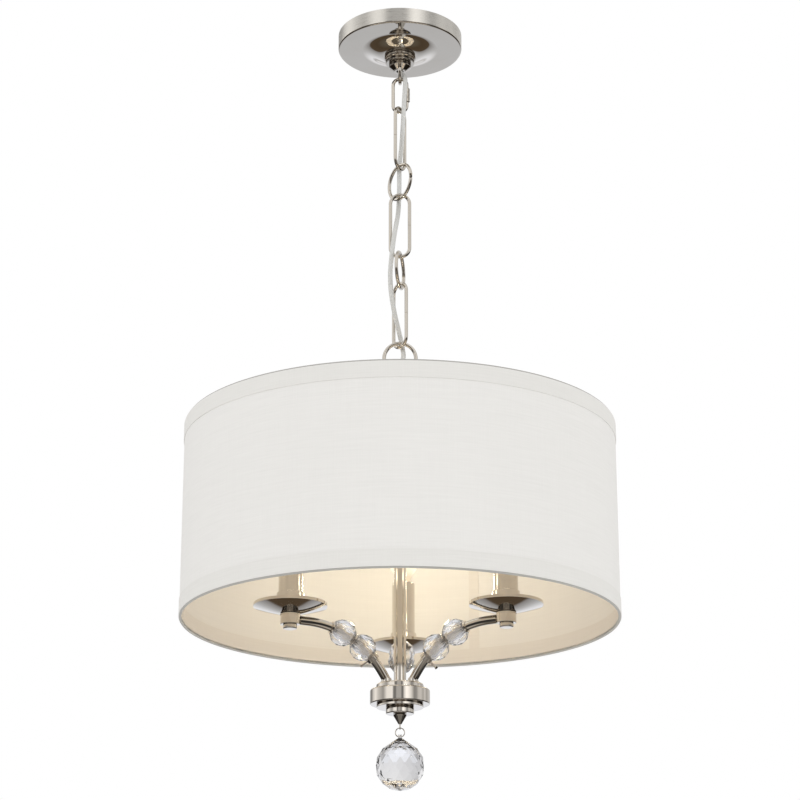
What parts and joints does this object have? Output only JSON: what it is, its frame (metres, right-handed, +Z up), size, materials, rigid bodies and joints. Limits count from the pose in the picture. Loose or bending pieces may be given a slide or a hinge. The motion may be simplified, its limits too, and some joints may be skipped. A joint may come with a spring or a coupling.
{
  "type": "drum chandelier",
  "caption": "Drum-shaded chandelier: canopy, chain, linen drum on a spider, curved candle arms with faceted beads, hub and crystal drop, swinging on its chain.",
  "frame": {"origin": "middle of the canopy where it meets the ceiling", "axes": "+Z up towards the ceiling, the column hangs along -Z, +Y away from the viewer, one arm points along +Y"},
  "size_m": [0.4064, 0.4064, 0.7543],
  "materials": {
    "polished_nickel": "polished nickel",
    "satin_nickel": "satin nickel",
    "zinc_steel": "zinc plated",
    "brass": "bright",
    "green_screw": "green lacquer",
    "shade_linen": "fine linen on a stiff liner",
    "shade_trim": "folded linen tape",
    "crystal": "clear, cut and polished",
    "cord_sheath": "clear sheath over tinned wire",
    "lampholder_moulding": "moulded",
    "lamp_glass": "frosted, lit"
  },
  "bodies": {
    "ceiling_mount": {"canopy": "satin_nickel", "crossbar": "zinc_steel", "threaded_nipple": "brass", "lock_nut": "brass", "ground_screw": "green_screw", "canopy_collar": "polished_nickel", "canopy_loop": "polished_nickel", "supply_cord": "cord_sheath"},
    "quick_link": {"quick_link": "polished_nickel", "quick_link_nut": "polished_nickel"},
    "long_link_1": {"long_link_1": "polished_nickel"},
    "chain_ring_1": {"chain_ring_1": "polished_nickel"},
    "long_link_2": {"long_link_2": "polished_nickel"},
    "chain_ring_2": {"chain_ring_2": "polished_nickel"},
    "long_link_3": {"long_link_3": "polished_nickel"},
    "fixture": {"column_loop": "polished_nickel", "column_tube": "polished_nickel", "shade_spider": "zinc_steel", "spider_nut": "zinc_steel", "shade_drum": "shade_linen", "shade_top_ring": "shade_trim", "shade_bottom_ring": "shade_trim", "hub_cap": "polished_nickel", "hub_drum": "polished_nickel", "hub_ring": "polished_nickel", "hub_finial": "polished_nickel", "finial_eye": "polished_nickel", "arm_1": "polished_nickel", "bead_collar_1": "polished_nickel", "bead_spacer_1": "polished_nickel", "cup_holder_1": "polished_nickel", "drip_dish_1": "polished_nickel", "candle_sleeve_1": "polished_nickel", "lampholder_1": "lampholder_moulding", "lamp_1": "lamp_glass", "arm_2": "polished_nickel", "bead_collar_2": "polished_nickel", "bead_spacer_2": "polished_nickel", "cup_holder_2": "polished_nickel", "drip_dish_2": "polished_nickel", "candle_sleeve_2": "polished_nickel", "lampholder_2": "lampholder_moulding", "lamp_2": "lamp_glass", "arm_3": "polished_nickel", "bead_collar_3": "polished_nickel", "bead_spacer_3": "polished_nickel", "cup_holder_3": "polished_nickel", "drip_dish_3": "polished_nickel", "candle_sleeve_3": "polished_nickel", "lampholder_3": "lampholder_moulding", "lamp_3": "lamp_glass"},
    "drop_ring": {"drop_ring": "polished_nickel"},
    "crystal_ball": {"crystal_ball": "crystal"},
    "bead_lower_1": {"bead_lower_1": "crystal"},
    "bead_upper_1": {"bead_upper_1": "crystal"},
    "bead_lower_2": {"bead_lower_2": "crystal"},
    "bead_upper_2": {"bead_upper_2": "crystal"},
    "bead_lower_3": {"bead_lower_3": "crystal"},
    "bead_upper_3": {"bead_upper_3": "crystal"}
  },
  "joints": [
    {"name": "quick_link_swing", "type": "hinge", "parent": "ceiling_mount", "child": "quick_link", "pos_m": [0, 0, -0.05039], "axis": [0, 1, 0], "range_deg": [-25, 25], "deforming": ["supply_cord"]},
    {"name": "long_link_1_swing", "type": "hinge", "parent": "quick_link", "child": "long_link_1", "pos_m": [0, 0, -0.08279], "axis": [1, 0, 0], "range_deg": [-25, 25], "deforming": ["supply_cord"]},
    {"name": "chain_ring_1_swing", "type": "hinge", "parent": "long_link_1", "child": "chain_ring_1", "pos_m": [0, 0, -0.14419], "axis": [0.4695, 0.8829, 0], "range_deg": [-25, 25], "deforming": ["supply_cord"]},
    {"name": "long_link_2_swing", "type": "hinge", "parent": "chain_ring_1", "child": "long_link_2", "pos_m": [0, 0, -0.17589], "axis": [0.6157, -0.788, 0], "range_deg": [-25, 25], "deforming": ["supply_cord"]},
    {"name": "chain_ring_2_swing", "type": "hinge", "parent": "long_link_2", "child": "chain_ring_2", "pos_m": [0, 0, -0.23729], "axis": [1, 0, 0], "range_deg": [-25, 25], "deforming": ["supply_cord"]},
    {"name": "long_link_3_swing", "type": "hinge", "parent": "chain_ring_2", "child": "long_link_3", "pos_m": [0, 0, -0.26899], "axis": [0.1736, 0.9848, 0], "range_deg": [-25, 25], "deforming": ["supply_cord"]},
    {"name": "fixture_swing", "type": "hinge", "parent": "long_link_3", "child": "fixture", "pos_m": [0, 0, -0.33039], "axis": [0.6691, -0.7431, 0], "range_deg": [-25, 25], "deforming": ["supply_cord"]},
    {"name": "drop_ring_swing", "type": "hinge", "parent": "fixture", "child": "drop_ring", "pos_m": [0, 0, -0.69859], "axis": [0, 1, 0], "range_deg": [-60, 60]},
    {"name": "crystal_ball_swing", "type": "hinge", "parent": "drop_ring", "child": "crystal_ball", "pos_m": [0, 0, -0.70564], "axis": [1, 0, 0], "range_deg": [-45, 45]},
    {"name": "bead_lower_1_spin", "type": "hinge", "parent": "fixture", "child": "bead_lower_1", "pos_m": [0, 0.03844, -0.62727], "axis": [0, 0.7992, 0.6011], "continuous": true},
    {"name": "bead_upper_1_spin", "type": "hinge", "parent": "fixture", "child": "bead_upper_1", "pos_m": [0, 0.05894, -0.61563], "axis": [0, 0.9257, 0.3782], "continuous": true},
    {"name": "bead_lower_2_spin", "type": "hinge", "parent": "fixture", "child": "bead_lower_2", "pos_m": [-0.03329, -0.01922, -0.62727], "axis": [-0.6921, -0.3996, 0.6011], "continuous": true},
    {"name": "bead_upper_2_spin", "type": "hinge", "parent": "fixture", "child": "bead_upper_2", "pos_m": [-0.05104, -0.02947, -0.61563], "axis": [-0.8017, -0.4629, 0.3782], "continuous": true},
    {"name": "bead_lower_3_spin", "type": "hinge", "parent": "fixture", "child": "bead_lower_3", "pos_m": [0.03329, -0.01922, -0.62727], "axis": [0.6921, -0.3996, 0.6011], "continuous": true},
    {"name": "bead_upper_3_spin", "type": "hinge", "parent": "fixture", "child": "bead_upper_3", "pos_m": [0.05104, -0.02947, -0.61563], "axis": [0.8017, -0.4629, 0.3782], "continuous": true}
  ]
}
